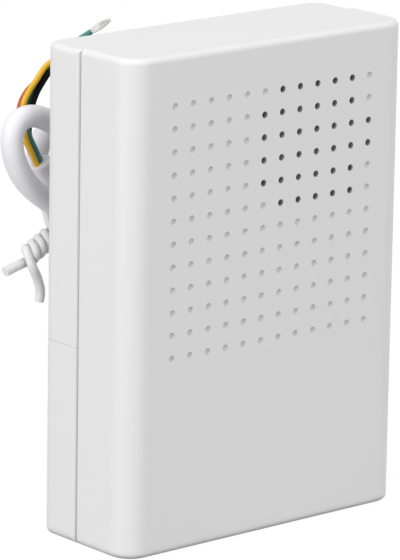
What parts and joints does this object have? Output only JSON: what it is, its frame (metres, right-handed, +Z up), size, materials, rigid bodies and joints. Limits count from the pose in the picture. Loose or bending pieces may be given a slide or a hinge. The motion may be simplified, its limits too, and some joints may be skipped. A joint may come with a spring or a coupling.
{
  "type": "doorbell chime box",
  "caption": "Upright white plastic chime box with a dotted front, a pierced speaker grille, a sliding rear cover and a looped four-core cable tied behind it.",
  "frame": {"origin": "middle of the case's base, without the cable", "axes": "+Z up, the dotted front faces -Y, +X to the right seen from the front"},
  "size_m": [0.0894, 0.0616, 0.1203],
  "materials": {
    "case_plastic": "fine satin moulding",
    "screw_steel": "zinc plated",
    "pressed_steel": "plated sheet",
    "ferrite": "sintered, matte",
    "foam": "soft foam",
    "surround_rubber": "treated cloth",
    "cone_paper": "pressed paper",
    "copper": "enamelled wire",
    "tag_board": "phenolic board",
    "board_green": "solder mask",
    "epoxy_black": "moulded epoxy",
    "capacitor_sleeve": "shrunk sleeve",
    "tin": "bright tinned",
    "jacket_pvc": "soft satin jacket",
    "core_red_pvc": "smooth insulation",
    "core_yellow_pvc": "smooth insulation",
    "core_green_pvc": "smooth insulation",
    "core_black_pvc": "smooth insulation",
    "nylon": "natural nylon",
    "grommet_rubber": "soft moulding",
    "tie_pvc": "plastic-covered wire"
  },
  "bodies": {
    "case": {"front_cover": "case_plastic", "rear_case": "case_plastic", "case_screws": "screw_steel", "speaker_gasket": "foam", "speaker_surround": "surround_rubber", "speaker_frame": "pressed_steel", "speaker_top_plate": "pressed_steel", "speaker_magnet": "ferrite", "speaker_yoke": "pressed_steel", "speaker_terminal": "tag_board", "speaker_screws": "screw_steel", "speaker_lead_red": "core_red_pvc", "speaker_lead_black": "core_black_pvc", "circuit_board": "board_green", "board_screws": "screw_steel", "sound_chip": "epoxy_black", "amplifier_chip": "epoxy_black", "capacitors": "capacitor_sleeve", "regulator": "epoxy_black", "chip_resistors": "epoxy_black", "solder_joints": "tin", "inner_core_red": "core_red_pvc", "inner_core_yellow": "core_yellow_pvc", "inner_core_green": "core_green_pvc", "inner_core_black": "core_black_pvc", "cable_inner": "jacket_pvc", "strain_tie": "nylon", "cable_grommet": "grommet_rubber", "cable_lead": "jacket_pvc", "cable_hank": "jacket_pvc", "cable_tail": "jacket_pvc", "twist_tie": "tie_pvc", "core_red": "core_red_pvc", "core_yellow": "core_yellow_pvc", "core_green": "core_green_pvc", "core_black": "core_black_pvc", "core_tips": "tin"},
    "lower_cover": {"lower_cover": "case_plastic"},
    "cone": {"speaker_cone": "cone_paper", "speaker_dust_cap": "cone_paper", "speaker_voice_coil": "copper"}
  },
  "joints": [
    {"name": "lower_cover_slide", "type": "slide", "parent": "case", "child": "lower_cover", "axis": [0, 0, -1], "range_m": [0, 0.05]},
    {"name": "cone_travel", "type": "slide", "parent": "case", "child": "cone", "axis": [0, -1, 0], "range_m": [-0.0006, 0.0006], "stiffness_N_per_m": 60, "deforming": ["speaker_surround"]}
  ]
}
